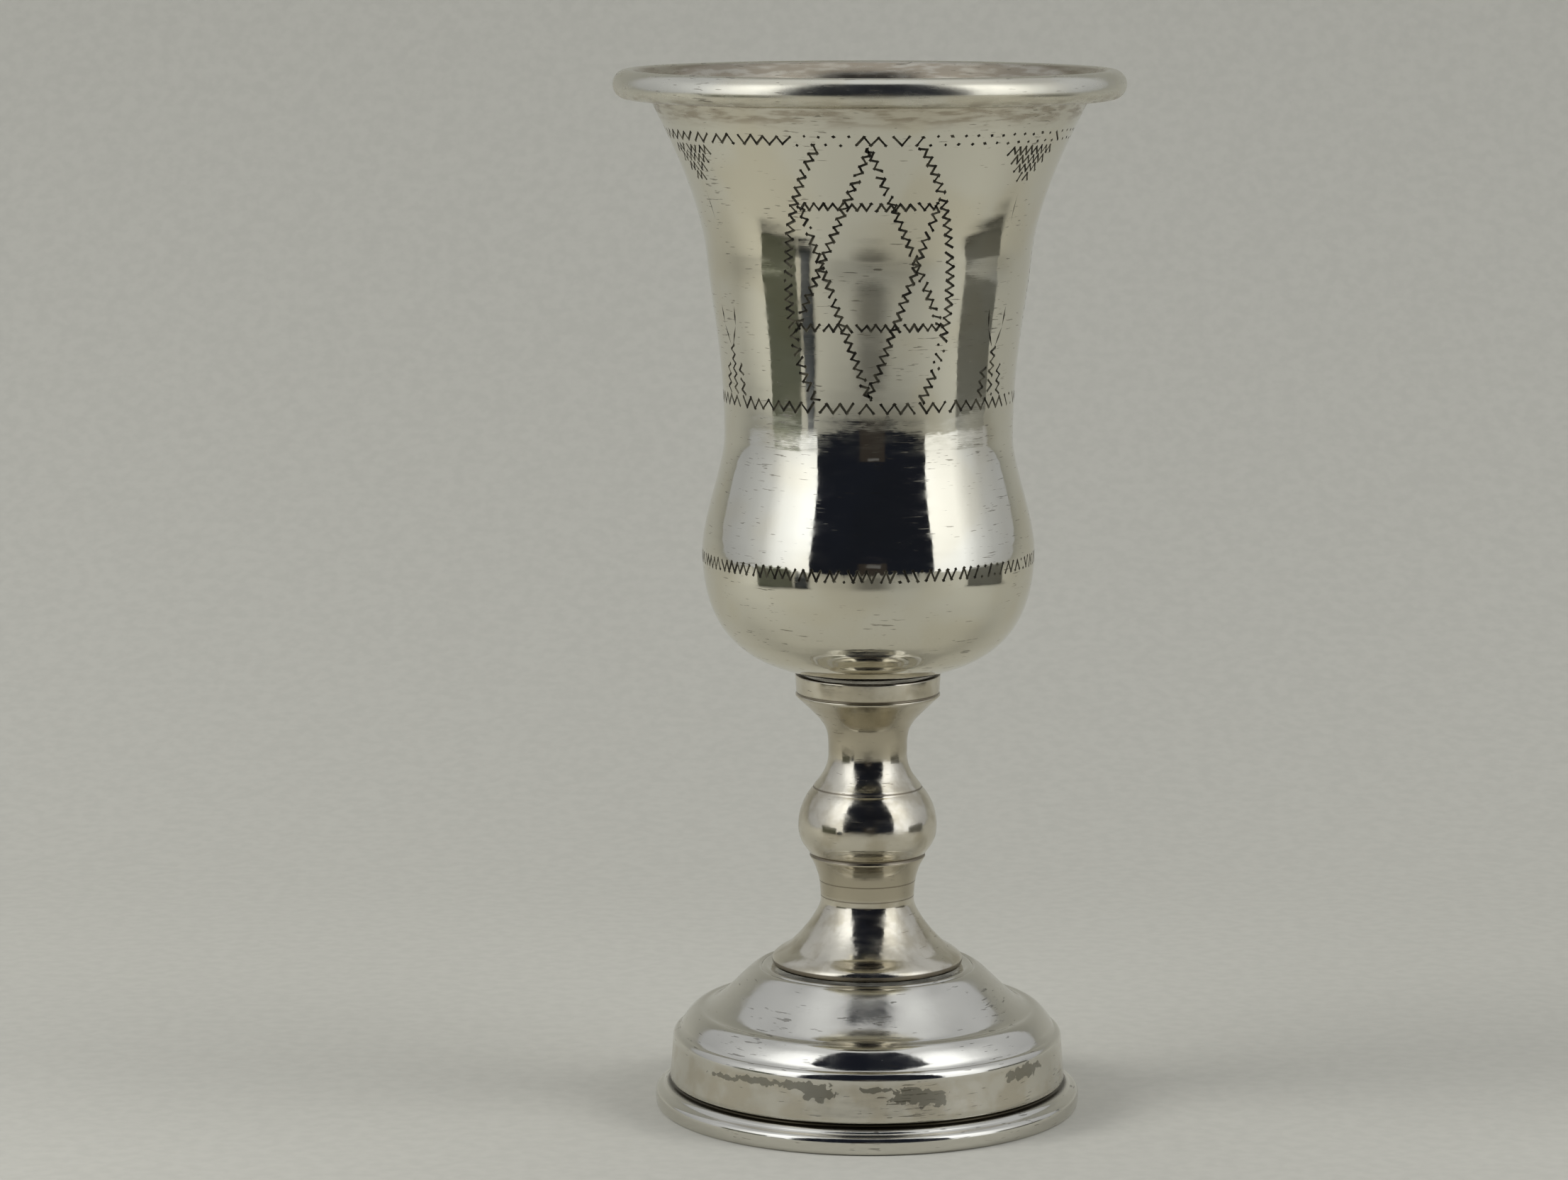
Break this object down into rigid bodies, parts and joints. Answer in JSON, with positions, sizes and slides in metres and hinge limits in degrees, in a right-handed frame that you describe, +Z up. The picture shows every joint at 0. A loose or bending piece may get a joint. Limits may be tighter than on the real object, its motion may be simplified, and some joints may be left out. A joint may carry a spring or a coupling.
{
  "type": "kiddush cup",
  "caption": "Stemmed ceremonial wine cup in turned silver: thin waisted bowl with a rolled rim, baluster stem and domed, stepped foot; stands on the foot's flat ring.",
  "frame": {"origin": "centre of the foot's flat underside, on the axis of the cup", "axes": "+Z up along the axis, from the foot to the rim; the middle of the oval panel with the star faces -Y"},
  "size_m": [0.0616, 0.0616, 0.127],
  "materials": {
    "bowl_silver": "worn mirror polish with fine turning marks and engraved zigzag lines",
    "stem_silver": "worn mirror polish with turned lines, yellowish tarnish in the grooves",
    "foot_silver": "worn polish with fine turning marks and dark patches of tarnish"
  },
  "bodies": {
    "root": {"bowl": "bowl_silver", "stem": "stem_silver", "foot": "foot_silver"}
  },
  "joints": []
}
